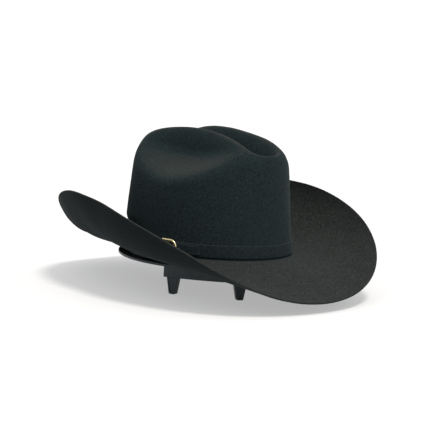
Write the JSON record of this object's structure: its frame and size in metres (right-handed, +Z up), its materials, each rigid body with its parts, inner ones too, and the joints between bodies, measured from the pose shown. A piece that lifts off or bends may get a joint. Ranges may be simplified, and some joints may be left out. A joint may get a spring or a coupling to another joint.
{
  "type": "cowboy hat",
  "caption": "Western felt hat with rolled side brim, creased crown and buckled self band, sitting on a legged oval stand it lifts off.",
  "frame": {"origin": "on the floor under the middle of the brim's outline, at the level of the stand's feet", "axes": "+Z up; the hat's front faces -Y and its back +Y, along the brim's longest direction; the wearer's left is +X"},
  "size_m": [0.3158, 0.368, 0.1746],
  "materials": {
    "felt": "matte short-nap fur felt, black with a faint blue-green cast",
    "felt_band": "matte felt strip, black",
    "sweat_leather": "smooth semi-matte roan leather, black-brown",
    "reed_plastic": "matte",
    "woven_tape": "woven cotton tape",
    "bow_ribbon": "narrow grosgrain",
    "label_cloth": "woven label",
    "satin": "satin weave lining",
    "patch_film": "clear film patch, glossy",
    "gold_metal": "polished pale gold plate",
    "stand_plastic": "moulded black plastic, satin gloss"
  },
  "bodies": {
    "stand": {"stand": "stand_plastic"},
    "hat": {"felt_body": "felt", "hat_band": "felt_band", "band_tab": "felt_band", "buckle_loop": "felt_band", "sweatband": "sweat_leather", "sweatband_reed": "reed_plastic", "reed_tape": "woven_tape", "sweatband_seam_tape": "woven_tape", "sweatband_bow": "bow_ribbon", "size_label": "label_cloth", "liner_side": "satin", "liner_tip": "satin", "liner_patch": "patch_film", "buckle_frame": "gold_metal", "band_tip": "gold_metal"},
    "prong": {"buckle_prong": "gold_metal"},
    "keeper": {"band_keeper": "gold_metal"}
  },
  "joints": [
    {"name": "hat_lift", "type": "slide", "parent": "stand", "child": "hat", "axis": [0, 0, 1], "range_m": [0, 0.12]},
    {"name": "prong_hinge", "type": "hinge", "parent": "hat", "child": "prong", "pos_m": [0.08383, 0.01572, 0.04347], "axis": [0.0911, 0.0176, -0.9957], "range_deg": [0, 85]},
    {"name": "keeper_slide", "type": "slide", "parent": "hat", "child": "keeper", "axis": [-0.0223, 0.9998, 0], "range_m": [-0.002, 0.002]}
  ]
}
